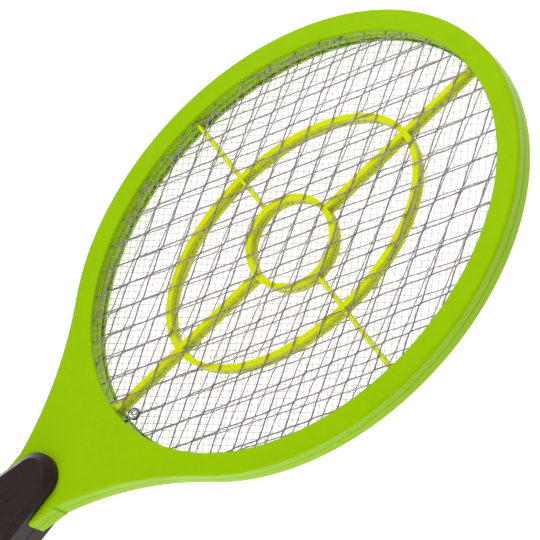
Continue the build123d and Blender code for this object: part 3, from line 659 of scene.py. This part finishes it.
PIGTAIL_WIRE_R = 0.17 * MM
PIGTAIL_TWIST_R = 0.20 * MM  # from the pair's middle to each wire's middle
PIGTAIL_TWISTS = 2.5
PIGTAIL_STEPS = 40
PIGTAIL_SAG = Vector((-0.35 * MM, 0, 0.05 * MM))
WIRE_SIDES = 10


def pigtail():
    """Two bare wires twisted together, from the eyelet down to the lead under the lip."""
    maker = bmesh.new()
    lead_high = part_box("front_mesh_lead")[1]
    # from the top of the flange, on its side towards the neck, into the end of the lead
    start = EYELET + Vector((-0.4 * MM, -EYELET_R * 0.85, EYELET_HALF + 0.02 * MM))
    end = Vector((EYELET.x - 0.7 * MM, lead_high.y - 0.3 * MM, lead_high.z - 0.55 * MM))
    middle = (start + end) / 2 + PIGTAIL_SAG
    corners = [2 * math.pi * index / WIRE_SIDES for index in range(WIRE_SIDES)]
    section = [(PIGTAIL_WIRE_R * math.cos(angle), PIGTAIL_WIRE_R * math.sin(angle)) for angle in corners]
    for first_angle in (0, math.pi):
        spots = []
        for index in range(PIGTAIL_STEPS + 1):
            t = index / PIGTAIL_STEPS
            core = start * (1 - t) ** 2 + middle * 2 * t * (1 - t) + end * t * t
            angle = first_angle + t * 2 * math.pi * PIGTAIL_TWISTS
            spots.append(core + Vector((math.cos(angle), 0, math.sin(angle))) * PIGTAIL_TWIST_R)
        sweep(maker, spots, section)
    new_piece("eyelet_pigtail", maker, dull_nickel, "racket")


eyelet()
pigtail()


# ---------------------------------------------------------------- floor, light and camera

FLOOR_REACH = 6.0
FLOOR_GLOW = 0.86  # the paper's own light keeps it white, with no heavy shadow
WORLD_LIGHT = 0.50
CAMERA_PLACE = (0.5425, 0.2647, 0.8307)
CAMERA_RIGHT = (0.5136, 0.7107, -0.4808)
CAMERA_BACK = (0.5445, 0.1632, 0.8227)
CAMERA_LENS, CAMERA_SENSOR = 153.3, 36  # in millimetres
CAMERA_NEAR, CAMERA_FAR = 0.05, 50


def floor():
    """Large sheet of white paper that the swatter lies on."""
    mesh = bpy.data.meshes.new("floor")
    corners = [(x * FLOOR_REACH, y * FLOOR_REACH, 0) for x, y in ((-1, -1), (1, -1), (1, 1), (-1, 1))]
    mesh.from_pydata(corners, [], [(0, 1, 2, 3)])
    made = Finish("floor_paper", (0.40, 0.40, 0.40), 0.75, specular=0.1)
    made.patches((0.34, 0.34, 0.345), scale=3.0, low=0.3, high=0.8, amount=0.03)
    made.shader.inputs["Emission Color"].default_value = (*WHITE, 1)
    made.shader.inputs["Emission Strength"].default_value = FLOOR_GLOW
    mesh.materials.append(made.done())
    piece = bpy.data.objects.new("floor", mesh)
    bpy.context.scene.collection.objects.link(piece)


def lamp(name, place, target, size, watts):
    """Large soft area light turned to a point."""
    data = bpy.data.lights.new(name, "AREA")
    data.shape = "RECTANGLE"
    data.size, data.size_y = size
    data.energy = watts
    piece = bpy.data.objects.new(name, data)
    piece.location = place
    piece.rotation_euler = (Vector(target) - Vector(place)).to_track_quat("-Z", "Y").to_euler()
    bpy.context.scene.collection.objects.link(piece)


def studio():
    """Even white light from all round, and colours shown without a film look."""
    world = bpy.data.worlds.new("studio")
    world.use_nodes = True
    background = world.node_tree.nodes["Background"]
    background.inputs["Color"].default_value = (*WHITE, 1)
    background.inputs["Strength"].default_value = WORLD_LIGHT
    bpy.context.scene.world = world
    bpy.context.scene.view_settings.view_transform = "Standard"


def camera():
    """Viewpoint in front of the head and to its right, rolled, with a long lens."""
    data = bpy.data.cameras.new("camera")
    data.sensor_width = CAMERA_SENSOR
    data.lens = CAMERA_LENS
    data.clip_start, data.clip_end = CAMERA_NEAR, CAMERA_FAR
    piece = bpy.data.objects.new("camera", data)
    back = Vector(CAMERA_BACK).normalized()
    over = back.cross(Vector(CAMERA_RIGHT).normalized()).normalized()
    right = over.cross(back)
    turned_to = Matrix((right, over, back)).transposed().to_4x4()
    piece.matrix_world = Matrix.Translation(CAMERA_PLACE) @ turned_to
    bpy.context.scene.collection.objects.link(piece)
    bpy.context.scene.camera = piece


floor()
lamp("key", place=(-0.70, 0.65, 1.30), target=(0, 0.08, 0), size=(1.2, 1.2), watts=20)
lamp("fill", place=(0.85, -0.75, 1.1), target=(0, 0.05, 0), size=(1.4, 1.4), watts=7)
lamp("side", place=(0.75, -1.05, 0.30), target=(0, 0.0, 0.02), size=(1.2, 0.4), watts=7)
studio()
camera()
